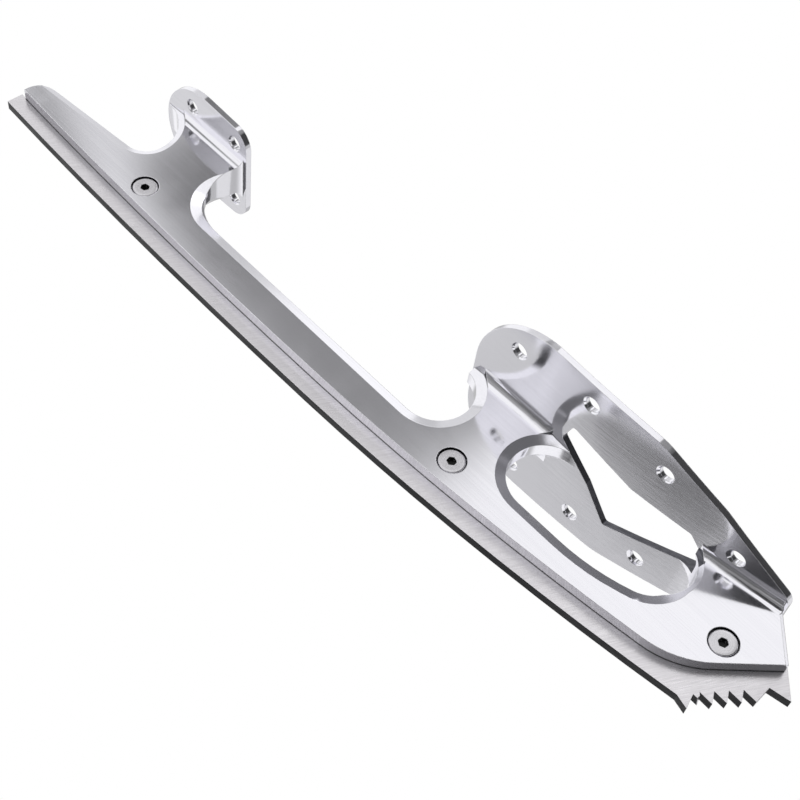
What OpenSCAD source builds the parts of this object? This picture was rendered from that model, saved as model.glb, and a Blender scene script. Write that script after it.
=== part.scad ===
// Figure skate blade: milled chassis, replaceable runner, three screws and their sleeve nuts.
// Millimetres. X to the toe, Z up, Y across. X = 0 is half way along, Y = 0 the blade's own
// middle plane and Z = 0 the lowest point of the runner.

/* [Runner] */
// Thickness of the steel runner
runner_t = 3.2; // [2.8:0.1:3.8]
// Radius of the main rocker
rocker_r = 2438; // [2300:1:2500]
// Place of the lowest point
rocker_x = -44.6; // [-48:0.1:-42]
// Radius of the spin rocker under the ball of the foot
spin_r = 985; // [950:1:1020]
// Where the spin rocker begins
spin_x = 0; // [-3:0.5:3]
// Rear end of the runner
runner_back_x = -156.1; // [-157:0.1:-155.5]
// Height of the step at the runner's rear end above its edge
runner_step_h = 5.8; // [5.5:0.1:6.2]
// How deep the runner sits in the chassis
tang_h = 7; // [6.5:0.1:7.4]
// Radius of the three ears round the screws
ear_r = 4.6; // [4.2:0.1:4.8]

/* [Toe pick] */
// Where the edge meets the drag pick
pick_x = 135.4; // [134.5:0.1:136]
// Drag pick tip, along the blade
drag_tip_x = 139.6; // [139:0.1:140.2]
// Drag pick tip, height
drag_tip_z = 11.2; // [10.8:0.1:11.8]
// Root above the drag pick, along the blade
drag_root_x = 138.1; // [137.6:0.1:138.4]
// Root above the drag pick, height
drag_root_z = 15.7; // [15.3:0.1:16.2]
// Length of the small tooth above the drag pick
small_tooth = 2.5; // [2:0.1:3]
// How much shorter the small tooth is on one side
small_skew = 1.3; // [0.8:0.1:1.6]
// First full tooth root, along the blade
root_x = 138.8; // [138.5:0.1:139.2]
// First full tooth root, height
root_z = 17.5; // [17.2:0.1:17.8]
// Length of a full tooth
tooth_len = 4.4; // [3.8:0.1:5]
// How far the tip of a full tooth hangs below its root
tooth_drop = 0.1; // [0.05:0.05:0.2]
// Step from tooth to tooth along the blade
tooth_step_x = 2.42; // [2.3:0.01:2.5]
// Step from tooth to tooth in height
tooth_step_z = 3.18; // [3.05:0.01:3.3]
// Number of full teeth
tooth_n = 4; // [3:1:4]
// Root under the crown tooth, along the blade
crown_root_x = 150.2; // [149.8:0.1:150.6]
// Root under the crown tooth, height
crown_root_z = 32.8; // [32.2:0.1:33.2]
// Crown tooth tip, along the blade
crown_x = 156.5; // [155.8:0.1:157]
// Crown tooth tip, height
crown_z = 34.1; // [33.8:0.1:34.6]

/* [Chassis wall] */
// Width of the chassis wall
wall_w = 11; // [10.4:0.1:11.6]
// Height of the lip above the runner's edge
lip_h = 5.6; // [5.3:0.1:5.9]
// Angle at which the lip's upward curve begins
lip_turn_a = 8.05; // [7.9:0.01:8.2]
// Radius of the lip's upward curve
lip_turn_r = 29; // [28:0.5:30]
// Angle of the sloping front part of the lip
lip_a = 48.2; // [47.8:0.1:48.6]
// Rear end of the chassis
tail_x = -153.7; // [-154.3:0.1:-153]
// Radius of the tail's upper corner
tail_r = 7; // [5:0.5:7.5]
// Front edge of the chassis, along the blade at the edge height below
front_x = 149.9; // [149.6:0.1:150.2]
// Height belonging to the front edge place
front_z = 39.6; // [39.2:0.1:40]
// Lean of the front edge from upright
front_a = 43.6; // [42.5:0.1:44.5]
// Play beside the runner in its slot
slot_play = 0.05; // [0.02:0.01:0.1]
// Play round the ears of the runner
ear_play = 0.3; // [0.2:0.05:0.4]

/* [Openings in the wall] */
// Rear notch, middle of its lower corner along the blade
notch_x = -112.2; // [-112.8:0.1:-111.6]
// Rear notch, height of both its centres
notch_z = 27.6; // [27.2:0.1:28]
// Rear notch, lower corner radius
notch_r = 7.8; // [7.4:0.1:8]
// Rear notch, upper radius that flares into the heel plate
notch_top_r = 15.2; // [14.8:0.1:15.4]
// Fall of the tail behind the rear notch
tail_fall_a = 5.5; // [5:0.1:6]
// Middle gap, centre of its rear end along the blade
gap_back_x = -64; // [-64.6:0.1:-63.4]
// Middle gap, radius of its rear end
gap_back_r = 18; // [17.6:0.1:18.4]
// Middle gap, height of the beam below it
beam_z = 18.7; // [18.4:0.1:19]
// Middle gap, centre of its front end along the blade
gap_front_x = 24.6; // [24.2:0.1:25]
// Middle gap, radius of its front end
gap_front_r = 11.9; // [11.5:0.1:12.2]
// How far the stanchion stays inside the rear end of the sole plate
gap_lip = 0.6; // [0.4:0.1:1]
// Stanchion window, centre of its rear end along the blade
win_back_x = 68.4; // [68:0.1:69]
// Stanchion window, radius of its rear end
win_back_r = 12.1; // [11.8:0.1:12.4]
// Stanchion window, height of its sill
win_z = 20.7; // [20.5:0.1:21.2]
// Stanchion window, where the sill starts to rise
win_rise_x = 84; // [82:0.5:86]
// Stanchion window, radius of the rising sill
win_sill_r = 71.9; // [70:0.1:74]
// Stanchion window, angle at which the front end begins
win_turn_a = 19.5; // [19:0.1:20]
// Stanchion window, radius of its front end
win_front_r = 10.9; // [10.5:0.1:11.2]
// Stanchion window, centre of its upper front corner along the blade
win_top_x = 106.8; // [106.4:0.1:107.2]
// Stanchion window, height of that centre
win_top_z = 37.6; // [37.2:0.1:38]
// Stanchion window, radius of the upper front corner
win_top_r = 10.4; // [10.1:0.1:10.6]

/* [Bevels and fillets] */
// Width of the bevel round the middle gap and the window
bevel_w = 3.2; // [2.8:0.1:3.4]
// Width of the bevel at the window's upper front corner
win_top_w = 1.4; // [1.2:0.1:1.6]
// Depth of the far side's bevel round the middle gap and the window
far_bevel_t = 5.3; // [4.9:0.1:5.4]
// Width of the bevel along the tail and the rear notch
tail_bevel_w = 2; // [1.6:0.1:2.2]
// Width of the bevel on the chassis front edge
front_bevel_w = 0.9; // [0.6:0.1:1.2]
// Width of a shallow bevel for each millimetre of its depth
bevel_ratio = 3; // [2.8:0.1:3.4]
// Where the near edge of the rear bevel of the gap has its centre
heel_bevel_x = -68; // [-68.5:0.1:-67.5]
// Fillet between the wall and the plates
fillet_r = 3.3; // [2.8:0.1:3.6]

/* [Heel plate] */
// Thickness of both plates
plate_t = 2; // [1.8:0.1:2.4]
// Height of the heel plate's underside
heel_z = 43.2; // [43.1:0.1:43.6]
// Centre of the rounded rear end
heel_x = -101.2; // [-101.8:0.1:-100.6]
// Half width of the heel plate
heel_r = 19.8; // [19:0.1:20.4]
// Front edge of the heel plate
heel_front_x = -79.2; // [-79.8:0.1:-78.6]
// Half width of the heel plate at its front corners
heel_front_hw = 19; // [18.2:0.1:19.4]
// Radius of the front corners
heel_corner_r = 7; // [5:0.5:8]

/* [Sole plate] */
// Height of the sole plate's underside at the rear
sole_z = 44.6; // [44.4:0.1:45]
// Where the sole plate starts to curve up
sole_bend_x = 49.5; // [48:0.5:51]
// Radius of the upward curve
sole_bend_r = 502; // [480:1:530]
// Rear end of the sole plate
sole_back_x = 26; // [25.6:0.1:26.4]
// Rear circle of the inner side, distance from the blade's plane
sole_in_y = -12; // [-12.6:0.1:-11.4]
// Rear circle of the inner side, radius
sole_in_r = 25.8; // [25.2:0.1:26.2]
// Rear circle of the outer side, distance from the blade's plane
sole_out_y = 5; // [4.4:0.1:5.6]
// Rear circle of the outer side, radius
sole_out_r = 24; // [23.5:0.1:24.5]
// Inner side, widest circle, along the blade
in_mid_x = 86; // [85:0.1:87]
// Inner side, widest circle, distance from the blade's plane
in_mid_y = -14.5; // [-15.0:0.1:-14.0]
// Inner side, widest circle, radius
in_mid_r = 20; // [19.5:0.1:20.5]
// Inner side, front circle, along the blade
in_front_x = 106; // [105:0.1:107]
// Inner side, front circle, distance from the blade's plane
in_front_y = -11.5; // [-12.0:0.1:-11.0]
// Inner side, front circle, radius
in_front_r = 15; // [14.5:0.1:15.5]
// Outer side, widest circle, along the blade
out_mid_x = 80; // [79:0.1:81]
// Outer side, widest circle, distance from the blade's plane
out_mid_y = 9; // [8.5:0.1:9.5]
// Outer side, widest circle, radius
out_mid_r = 20; // [19.5:0.1:20.5]
// Outer side, front circle, along the blade
out_front_x = 104; // [103:0.1:105]
// Outer side, front circle, distance from the blade's plane
out_front_y = 6.5; // [6.0:0.1:7.0]
// Outer side, front circle, radius
out_front_r = 16.5; // [16.0:0.1:17.0]
// Front end of the sole plate
toe_tip_x = 138.9; // [138.4:0.1:139.4]
// Inner toe corner, distance of its centre from the blade's plane
toe_in_y = -6; // [-6.4:0.1:-5.6]
// Inner toe corner, radius
toe_in_r = 5.4; // [5:0.1:5.8]
// Outer toe corner, distance of its centre from the blade's plane
toe_out_y = 1.5; // [1.1:0.1:1.9]
// Outer toe corner, radius
toe_out_r = 6.9; // [6.5:0.1:7.3]

/* [Opening in the sole plate] */
// Rear corner, along the blade
open_back_x = 61.8; // [61.4:0.1:62.2]
// Rear corner, distance from the blade's plane
open_back_y = -8; // [-8.4:0.1:-7.6]
// Inner rear corner, along the blade
open_in_x = 64.4; // [64:0.1:64.8]
// Inner rear corner, distance from the blade's plane
open_in_y = -15.4; // [-15.8:0.1:-15]
// Inner side, where its straight part begins
open_side_x = 87; // [86.5:0.1:87.5]
// Inner side, distance of its straight part from the blade's plane
open_side_y = -9; // [-9.4:0.1:-8.6]
// Front end, along the blade
open_front_x = 113.6; // [113.2:0.1:114]
// Front end, size of its slanted inner corner
open_slant = 6; // [5.6:0.1:6.4]
// Front end, distance of its outer corner from the blade's plane
open_front_y = 2; // [1.6:0.1:2.4]
// Outer corner, along the blade
open_out_x = 83; // [82.6:0.1:83.4]
// Outer corner, distance from the blade's plane
open_out_y = 14.2; // [13.8:0.1:14.6]
// Bend of the outer side, along the blade
open_bend_x = 73.8; // [73.4:0.1:74.2]
// Bend of the outer side, distance from the blade's plane
open_bend_y = 2.7; // [2.3:0.1:3.1]
// Corner radius
open_r = 1.2; // [0.8:0.1:1.5]

/* [Screw holes in the plates] */
// Radius of the screw holes
hole_r = 2.4; // [2.2:0.1:2.6]
// Radius of the countersunk rim
rim_r = 2.9; // [2.8:0.1:3.1]
// Heel holes, front pair along the blade
heel_hole_x = -85.4; // [-86:0.1:-85]
// Heel holes, distance between the pairs
heel_pair_x = 21.8; // [21:0.1:22.4]
// Heel holes, distance across
heel_pair_y = 24.2; // [23.8:0.1:24.6]
// Inner holes, rearmost one along the blade
in_hole_x = 40.5; // [40:0.1:41]
// Inner holes, step along the blade
in_hole_step = 27; // [26.8:0.1:27.2]
// Inner rear hole, distance from the blade's plane
in_rear_y = -26.3; // [-26.7:0.1:-25.9]
// Inner second hole, distance from the blade's plane
in_second_y = -28.6; // [-29.0:0.1:-28.2]
// Inner third hole, distance from the blade's plane
in_third_y = -24.2; // [-24.6:0.1:-23.8]
// Inner front hole, distance from the blade's plane
in_front_hole_y = -11.8; // [-12.2:0.1:-11.4]
// Outer holes, rearmost one along the blade
out_hole_x = 47.6; // [47.2:0.1:48]
// Outer holes, step along the blade
out_hole_step = 24.4; // [24.2:0.1:24.6]
// Outer rear hole, distance from the blade's plane
out_rear_y = 21.4; // [21.0:0.1:21.8]
// Outer second hole, distance from the blade's plane
out_second_y = 20.7; // [20.3:0.1:21.1]
// Outer third hole, distance from the blade's plane
out_third_y = 17.7; // [17.3:0.1:18.1]
// Outer front hole, along the blade
out_front_hole_x = 116.6; // [116.2:0.1:117]
// Outer front hole, distance from the blade's plane
out_front_hole_y = 12.2; // [12:0.1:12.6]

/* [Runner screws] */
// Rear screw, along the blade
screw_rear_x = -92.8; // [-93.4:0.1:-92.2]
// Rear screw, height
screw_rear_z = 12.6; // [12.4:0.1:12.8]
// Middle screw, along the blade
screw_mid_x = 46.6; // [46:0.1:47.2]
// Middle screw, height
screw_mid_z = 15.6; // [15.4:0.1:15.8]
// Front screw, along the blade
screw_front_x = 134.2; // [133.8:0.1:134.6]
// Front screw, height
screw_front_z = 31.4; // [31.2:0.1:31.6]
// Radius of the recess round a screw head
recess_r = 4.5; // [4.4:0.1:4.8]
// Depth of the recess
recess_t = 2.2; // [2:0.1:2.4]
// Radius of a screw head
head_r = 4.1; // [3.8:0.1:4.2]
// Height of a screw head
head_t = 1.9; // [1.7:0.1:2]
// Edge rounding of a screw head
head_edge = 0.3; // [0.2:0.05:0.4]
// Radius of the screw shank
shank_r = 2; // [1.8:0.1:2.1]
// Play round the shank
shank_play = 0.1; // [0.05:0.01:0.15]
// Width across the flats of the hexagon socket
socket_w = 2.5; // [2:0.1:3]
// Depth of the hexagon socket
socket_t = 1.3; // [1:0.1:1.5]
// Wall of the sleeve nut round the shank
sleeve_t = 0.8; // [0.6:0.1:0.9]

/* [Hidden] */
$fn = 96;
fine_fn = 1440;
arc_step = 5;
toe_rise_a = 11;
fillet_back = 0.1;
half_w = wall_w / 2;
corner_n = 5;
reach = 60;
margin = 20;
cut = 0.5;
seam = 1;
overlap = [5, 0];

rocker_c = [rocker_x, rocker_r];
spin_a = asin((spin_x - rocker_x) / rocker_r);
spin_c = swing(rocker_c, spin_a, rocker_r - spin_r);
pick_a = asin((pick_x - spin_c[0]) / spin_r);
pick_p = swing(spin_c, pick_a, spin_r);
turn_c = swing(spin_c, lip_turn_a, spin_r - lip_h - lip_turn_r);
tail_end = runner_back_x - lip_h;

notch_top_x = notch_x + notch_r - notch_top_r;
tail_line = [notch_x + notch_r * sin(tail_fall_a), notch_z - notch_r * cos(tail_fall_a)];
tail_c = [tail_x + tail_r,
    tail_line[1] + (tail_x + tail_r - tail_line[0]) * tan(tail_fall_a) - tail_r / cos(tail_fall_a)];
gap_back_z = beam_z + gap_back_r;
gap_top_x = sole_back_x + gap_lip;
gap_front_z = beam_z + gap_front_r;
win_back_z = win_z + win_back_r;
sill_c = [win_rise_x, win_z + win_sill_r];
win_front = swing(sill_c, win_turn_a, win_sill_r - win_front_r);
bend_c = [sole_bend_x, sole_z + sole_bend_r];

heel_outline = [[[heel_x, 0], heel_r],
    [[heel_front_x - heel_corner_r, heel_corner_r - heel_front_hw], heel_corner_r],
    [[heel_front_x - heel_corner_r, heel_front_hw - heel_corner_r], heel_corner_r]];
sole_outline = [[[sole_back_x + sole_in_r, sole_in_y], sole_in_r],
    [[in_mid_x, in_mid_y], in_mid_r], [[in_front_x, in_front_y], in_front_r],
    [[toe_tip_x - toe_in_r, toe_in_y], toe_in_r], [[toe_tip_x - toe_out_r, toe_out_y], toe_out_r],
    [[out_front_x, out_front_y], out_front_r], [[out_mid_x, out_mid_y], out_mid_r],
    [[sole_back_x + sole_out_r, sole_out_y], sole_out_r]];
in_holes = [in_rear_y, in_second_y, in_third_y, in_front_hole_y];
out_holes = [out_rear_y, out_second_y, out_third_y];
opening = [[open_back_x, open_back_y], [open_in_x, open_in_y], [open_side_x, open_side_y],
    [open_front_x - open_slant, open_side_y], [open_front_x, open_side_y + open_slant],
    [open_front_x, open_front_y], [open_out_x, open_out_y], [open_bend_x, open_bend_y]];

rear_p = [screw_rear_x, screw_rear_z];
mid_p = [screw_mid_x, screw_mid_z];
front_p = [screw_front_x, screw_front_z];
screws = [rear_p, mid_p, front_p];
sleeve_r = shank_r + shank_play + sleeve_t;
nut_reach = runner_t / 2 + slot_play;

// Point at radius r and angle a from straight down, round the centre c.
function swing(c, a, r) = [c[0] + r * sin(a), c[1] - r * cos(a)];

// Angle of the outward side of the straight run between circles p and q, taken anticlockwise.
function side_a(p, q) = atan2(q[0][1] - p[0][1], q[0][0] - p[0][0])
    - acos((p[1] - q[1]) / norm(q[0] - p[0]));

// Corner b of an outline rounded with radius r between its neighbours a and c.
function corner(a, b, c, r) =
    let (u = (a - b) / norm(a - b), v = (c - b) / norm(c - b),
        half = acos(u * v) / 2, m = b + (u + v) / norm(u + v) * r / sin(half),
        s = atan2((b + u * r / tan(half) - m)[1], (b + u * r / tan(half) - m)[0]),
        turn = (u[0] * v[1] - u[1] * v[0] > 0 ? -1 : 1) * (180 - 2 * half))
    [for (i = [0:corner_n]) m + r * [cos(s + turn * i / corner_n), sin(s + turn * i / corner_n)]];

// Points of the outline round a list of circles, each [centre, radius], taken anticlockwise.
function round_trip(list) = let (n = len(list))
    [for (i = [0:n - 1]) let (p = list[i], from = side_a(list[(i + n - 1) % n], p),
        turn = (side_a(p, list[(i + 1) % n]) - from + 360) % 360, steps = ceil(turn / arc_step))
        for (k = [0:steps]) p[0] + p[1] * [cos(from + turn * k / steps), sin(from + turn * k / steps)]];

module wrap(list) {
    polygon(round_trip(list));
}

// Side view drawn in X and Z, made t thick across the blade.
module across(t) {
    rotate([90, 0, 0]) linear_extrude(height = t, center = true) children();
}

// Depth into the wall from its near face along the children's own Z.
module from_face() {
    translate([0, -half_w, 0]) rotate([90, 0, 0]) mirror([0, 0, 1]) children();
}

module both_faces() {
    children();
    mirror([0, 1, 0]) children();
}

// Everything above the runner's edge raised by h, up to the angle end_a of the spin rocker. The
// two stretches lean over one another, so that no gap is left between them.
module above(h, end_a) {
    intersection() {
        translate(rocker_c) circle(r = rocker_r - h, $fn = fine_fn);
        translate([tail_x - margin, -margin]) square([spin_x + seam - tail_x + margin, reach + margin]);
    }
    intersection() {
        translate(spin_c) circle(r = spin_r - h, $fn = fine_fn);
        polygon([[spin_x, -margin], swing(spin_c, end_a, spin_r + margin),
            swing(spin_c, end_a, spin_r - reach), [spin_x, reach]]);
    }
}

// The same for the lip and the slot's ceiling, which turn up at the toe; h counts from the lip.
module above_lip(h) {
    foot = swing(turn_c, lip_a, lip_turn_r - h);
    top = swing(turn_c, lip_turn_a, -lip_turn_r);
    above(lip_h + h, lip_turn_a);
    intersection() {
        translate(turn_c) circle(r = lip_turn_r - h);
        polygon([turn_c - overlap, swing(turn_c, lip_turn_a, lip_turn_r) - overlap,
            swing(turn_c, lip_turn_a, 2 * lip_turn_r), swing(turn_c, lip_a, 2 * lip_turn_r), turn_c]);
    }
    polygon([turn_c - overlap, swing(turn_c, lip_turn_a, lip_turn_r / 2) - overlap, foot,
        foot + reach * [cos(lip_a), sin(lip_a)], top - overlap]);
}

module runner_ears(r) {
    for (p = screws) translate(p) circle(r = r);
}

module notch_side(w) {
    back = tail_line + w * [sin(tail_fall_a), -cos(tail_fall_a)];
    polygon([back, back - reach * [cos(tail_fall_a), sin(tail_fall_a)],
        [tail_x - margin, notch_z + notch_top_r], [notch_top_x, notch_z + notch_top_r],
        [notch_top_x, notch_z], [notch_x, notch_z]]);
    translate([notch_x, notch_z]) circle(r = notch_r + w);
    intersection() {
        translate([notch_top_x, notch_z]) circle(r = notch_top_r + w);
        translate([notch_top_x, notch_z]) square(reach);
    }
}

module gap_side() {
    translate([gap_back_x, gap_back_z]) circle(r = gap_back_r);
    translate([gap_front_x, gap_front_z]) circle(r = gap_front_r);
    polygon([[gap_back_x, beam_z], [gap_front_x, beam_z], [gap_top_x, gap_front_z], [gap_top_x, reach],
        [gap_back_x, reach]]);
}

// Below the underside of the sole plate lowered by d.
module under_sole(d) {
    translate([0, -margin]) square([sole_bend_x, sole_z - d + margin]);
    difference() {
        translate([sole_bend_x, -margin]) square([front_x, reach + margin]);
        translate(bend_c) circle(r = sole_bend_r + d, $fn = fine_fn);
    }
}

// Window outline, grown by w all round.
module window_side(w) {
    intersection() {
        union() {
            translate([win_back_x, win_back_z]) circle(r = win_back_r + w);
            translate(win_front) circle(r = win_front_r + w);
            translate([win_top_x, win_top_z]) circle(r = win_top_r + min(w, win_top_w + fillet_back));
            translate([win_back_x, win_z - w]) square([win_rise_x - win_back_x, reach]);
            intersection() {
                translate(sill_c) circle(r = win_sill_r + w, $fn = fine_fn);
                polygon([[win_rise_x, 0], swing(sill_c, win_turn_a, win_sill_r + margin), win_front,
                    [win_front[0], reach], [win_rise_x, reach]]);
            }
        }
        under_sole(-plate_t / 4);
    }
}

// Cone that bevels an inside curve of final radius r, with bevel width w and depth d.
module cone_in(c, r, w, d) {
    over = cut * d / w;
    translate([c[0], c[1], -over])
        cylinder(h = d + 2 * over, r1 = r + w + cut, r2 = r - cut, $fn = r > reach ? fine_fn : $fn);
}

// Bevel along a straight edge from p, for the length len at the angle a, open to its left.
module strip(p, a, len, w, d) {
    over = cut * d / w;
    translate([p[0], p[1], 0]) rotate([0, 0, a]) rotate([90, 0, 90])
        linear_extrude(height = len)
            polygon([[-w - cut, -over], [cut, d + over], [wall_w, d + over], [wall_w, -over]]);
}

module window_bevel(d) {
    cone_in([win_back_x, win_back_z], win_back_r, bevel_w, d);
    cone_in(win_front, win_front_r, bevel_w, d);
    strip([win_back_x, win_z], 0, win_rise_x - win_back_x, bevel_w, d);
    intersection() {
        cone_in(sill_c, win_sill_r, bevel_w, d);
        translate([0, 0, -wall_w]) linear_extrude(height = 2 * wall_w)
            polygon([[win_rise_x, 0], swing(sill_c, win_turn_a, win_sill_r + margin), win_front,
                [win_rise_x, win_front[1]]]);
    }
}

module gap_bevel(d) {
    cone_in([gap_front_x, gap_front_z], gap_front_r, bevel_w, d);
    cone_in([heel_bevel_x, beam_z + gap_front_r], gap_front_r, bevel_w, d);
    strip([heel_bevel_x, beam_z], 0, gap_front_x - heel_bevel_x, bevel_w, d);
}

// Bevels that are the same on both sides.
module shallow_bevels() {
    tail_t = tail_bevel_w / bevel_ratio;
    cone_in([notch_x, notch_z], notch_r, tail_bevel_w, tail_t);
    intersection() {
        cone_in([notch_top_x, notch_z], notch_top_r, tail_bevel_w, tail_t);
        translate([notch_top_x, notch_z, -wall_w]) cube([reach, reach, 2 * wall_w]);
    }
    strip(tail_line - reach * [cos(tail_fall_a), sin(tail_fall_a)], tail_fall_a, reach, tail_bevel_w,
        tail_t);
    cone_in([win_top_x, win_top_z], win_top_r, win_top_w, win_top_w / bevel_ratio);
    strip([front_x, front_z] + reach / 2 * [-sin(front_a), cos(front_a)],
        front_a - 90, reach, front_bevel_w, front_bevel_w / bevel_ratio);
}

module opening_bevels(d) {
    window_bevel(d);
    gap_bevel(d);
}

module tail_corner() {
    difference() {
        polygon([tail_c, tail_c + 2 * tail_r * [-sin(tail_fall_a), cos(tail_fall_a)],
            tail_c + 2 * tail_r * [-1, 1], tail_c - [2 * tail_r, 0]]);
        translate(tail_c) circle(r = tail_r);
    }
}

module front_cut() {
    translate([front_x, front_z]) rotate(front_a) translate([0, -margin]) square(reach);
}

module wall_side() {
    difference() {
        intersection() {
            above_lip(0);
            union() {
                translate([tail_x, -margin]) square([-tail_x, notch_z + margin]);
                translate([notch_top_x, 0]) square([-notch_top_x, heel_z + plate_t / 2]);
                under_sole(-plate_t / 2);
            }
        }
        notch_side(0);
        gap_side();
        window_side(0);
        tail_corner();
        front_cut();
    }
}

module wall() {
    difference() {
        across(wall_w) wall_side();
        both_faces() from_face() shallow_bevels();
        from_face() opening_bevels(bevel_w / bevel_ratio);
        mirror([0, 1, 0]) from_face() opening_bevels(far_bevel_t);
    }
}

// Section of a fillet under a plate, in Y and Z, tucked into the wall and the plate.
module fillet_section() {
    difference() {
        translate([half_w - cut, -fillet_r]) square([fillet_r + cut, fillet_r + cut]);
        translate([half_w + fillet_r, -fillet_r]) circle(r = fillet_r);
    }
}

module fillet_runs() {
    translate([notch_top_x, 0, heel_z]) rotate([90, 0, 90])
        linear_extrude(height = heel_front_x - notch_top_x) fillet_section();
    translate([sole_back_x, 0, sole_z]) rotate([90, 0, 90])
        linear_extrude(height = sole_bend_x - sole_back_x) fillet_section();
    translate([bend_c[0], 0, bend_c[1]]) rotate([90, 0, 0]) rotate([0, 0, -90])
        rotate_extrude(angle = toe_rise_a) rotate(90) translate([0, -sole_bend_r]) fillet_section();
}

// Fillets along both faces, kept under the plates and out of the openings.
module fillets() {
    difference() {
        intersection() {
            both_faces() fillet_runs();
            union() {
                linear_extrude(height = reach) wrap(heel_outline);
                linear_extrude(height = reach) wrap(sole_outline);
            }
        }
        across(4 * wall_w) union() {
            notch_side(tail_bevel_w + fillet_back);
            gap_side();
            translate([gap_front_x, gap_front_z]) circle(r = gap_front_r + bevel_w + fillet_back);
            window_side(bevel_w + fillet_back);
            front_cut();
        }
    }
}

module screw_hole(z) {
    translate([0, 0, z - cut]) cylinder(h = plate_t + 2 * cut, r = hole_r);
    translate([0, 0, z - cut]) cylinder(h = rim_r - hole_r + cut, r1 = rim_r + cut, r2 = hole_r);
}

module heel_plate() {
    difference() {
        translate([0, 0, heel_z]) linear_extrude(height = plate_t) wrap(heel_outline);
        for (i = [0, 1], s = [-1, 1])
            translate([heel_hole_x - i * heel_pair_x, s * heel_pair_y / 2, 0]) screw_hole(heel_z);
    }
}

// Side view of the sole plate: level at the rear, then curving up.
module sole_band() {
    translate([0, sole_z]) square([sole_bend_x, plate_t]);
    intersection() {
        difference() {
            translate(bend_c) circle(r = sole_bend_r, $fn = fine_fn);
            translate(bend_c) circle(r = sole_bend_r - plate_t, $fn = fine_fn);
        }
        translate([sole_bend_x, 0]) square([front_x, reach + margin]);
    }
}

// Opening through the sole plate, above the window.
module sole_opening() {
    n = len(opening);
    translate([0, 0, win_top_z]) linear_extrude(height = reach)
        polygon([for (i = [0:n - 1])
            each corner(opening[(i + n - 1) % n], opening[i], opening[(i + 1) % n], open_r)]);
}

module sole_hole(x, y) {
    translate([x, y, 0]) screw_hole(under_z(x));
}

module sole_plate() {
    difference() {
        intersection() {
            translate([0, 0, beam_z]) linear_extrude(height = reach) wrap(sole_outline);
            across(2 * reach) sole_band();
        }
        for (i = [0:len(in_holes) - 1])
            sole_hole(in_hole_x + i * in_hole_step, in_holes[i]);
        for (i = [0:len(out_holes) - 1])
            sole_hole(out_hole_x + i * out_hole_step, out_holes[i]);
        sole_hole(out_front_hole_x, out_front_hole_y);
    }
}

// Height of the sole plate's underside at x.
function under_z(x) = x < sole_bend_x ? sole_z
    : bend_c[1] - sqrt(sole_bend_r * sole_bend_r - (x - sole_bend_x) * (x - sole_bend_x));

module chassis() {
    color([0.72, 0.72, 0.76]) difference() {
        union() {
            wall();
            fillets();
            heel_plate();
            sole_plate();
        }
        sole_opening();
        across(runner_t + 2 * slot_play) union() {
            difference() {
                translate([tail_x - margin, -margin])
                    square([front_x - tail_x + 2 * margin, reach + margin]);
                above_lip(tang_h);
            }
            runner_ears(ear_r + ear_play);
        }
        for (p = screws) translate([p[0], 0, p[1]]) rotate([90, 0, 0]) {
            cylinder(h = wall_w, r = shank_r + shank_play);
            translate([0, 0, -wall_w]) cylinder(h = wall_w, r = sleeve_r + shank_play);
            translate([0, 0, half_w - recess_t]) cylinder(h = wall_w, r = recess_r);
            translate([0, 0, recess_t - half_w - wall_w]) cylinder(h = wall_w, r = recess_r);
        }
    }
}

module toe_side() {
    tips = [for (i = [0:tooth_n - 1]) each [
        [root_x + i * tooth_step_x, root_z + i * tooth_step_z],
        [root_x + i * tooth_step_x + tooth_len, root_z + i * tooth_step_z - tooth_drop]]];
    polygon(concat([pick_p, [drag_tip_x, drag_tip_z], [drag_root_x, drag_root_z],
        [drag_root_x + small_tooth, drag_root_z]], tips,
        [[crown_root_x, crown_root_z], [crown_x, crown_z],
            [crown_x, crown_z] + reach / 2 * [-sin(front_a), cos(front_a)],
            swing(spin_c, pick_a, spin_r - reach / 2)]));
}

module runner() {
    color([0.8, 0.8, 0.8]) difference() {
        across(runner_t) union() {
            difference() {
                union() {
                    intersection() {
                        above(0, pick_a);
                        translate([runner_back_x, -margin]) square([2 * (reach - runner_back_x), reach]);
                    }
                    toe_side();
                }
                above_lip(tang_h);
                intersection() {
                    above(runner_step_h, pick_a);
                    translate([tail_end, 0]) square([tail_x - tail_end, reach]);
                }
            }
            runner_ears(ear_r);
        }
        for (p = screws) translate([p[0], 0, p[1]]) rotate([90, 0, 0])
            cylinder(h = wall_w, r = shank_r + shank_play, center = true);
        translate([0, 0, drag_root_z - cut])
            linear_extrude(height = root_z - drag_root_z + cut - 2 * tooth_drop)
                polygon([[drag_root_x + small_tooth - small_skew, -wall_w / 4],
                    [drag_root_x + 3 * small_tooth, -wall_w / 4],
                    [drag_root_x + small_tooth, wall_w / 4]]);
    }
}

// Low head with a bevelled rim, shared by the screws and the sleeve nuts.
module head() {
    cylinder(h = head_t - head_edge, r = head_r);
    translate([0, 0, head_t - head_edge])
        cylinder(h = head_edge, r1 = head_r, r2 = head_r - head_edge);
}

module socket(t) {
    cylinder(h = t + cut, d = socket_w / cos(30), $fn = 6);
}

module screw(p) {
    color([0.78, 0.78, 0.78]) translate([p[0], recess_t - half_w, p[1]]) rotate([90, 0, 0]) difference() {
        union() {
            head();
            translate([0, 0, 2 * recess_t - wall_w]) cylinder(h = wall_w - 2 * recess_t, r = shank_r);
        }
        translate([0, 0, head_t - socket_t]) socket(socket_t);
    }
}

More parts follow.
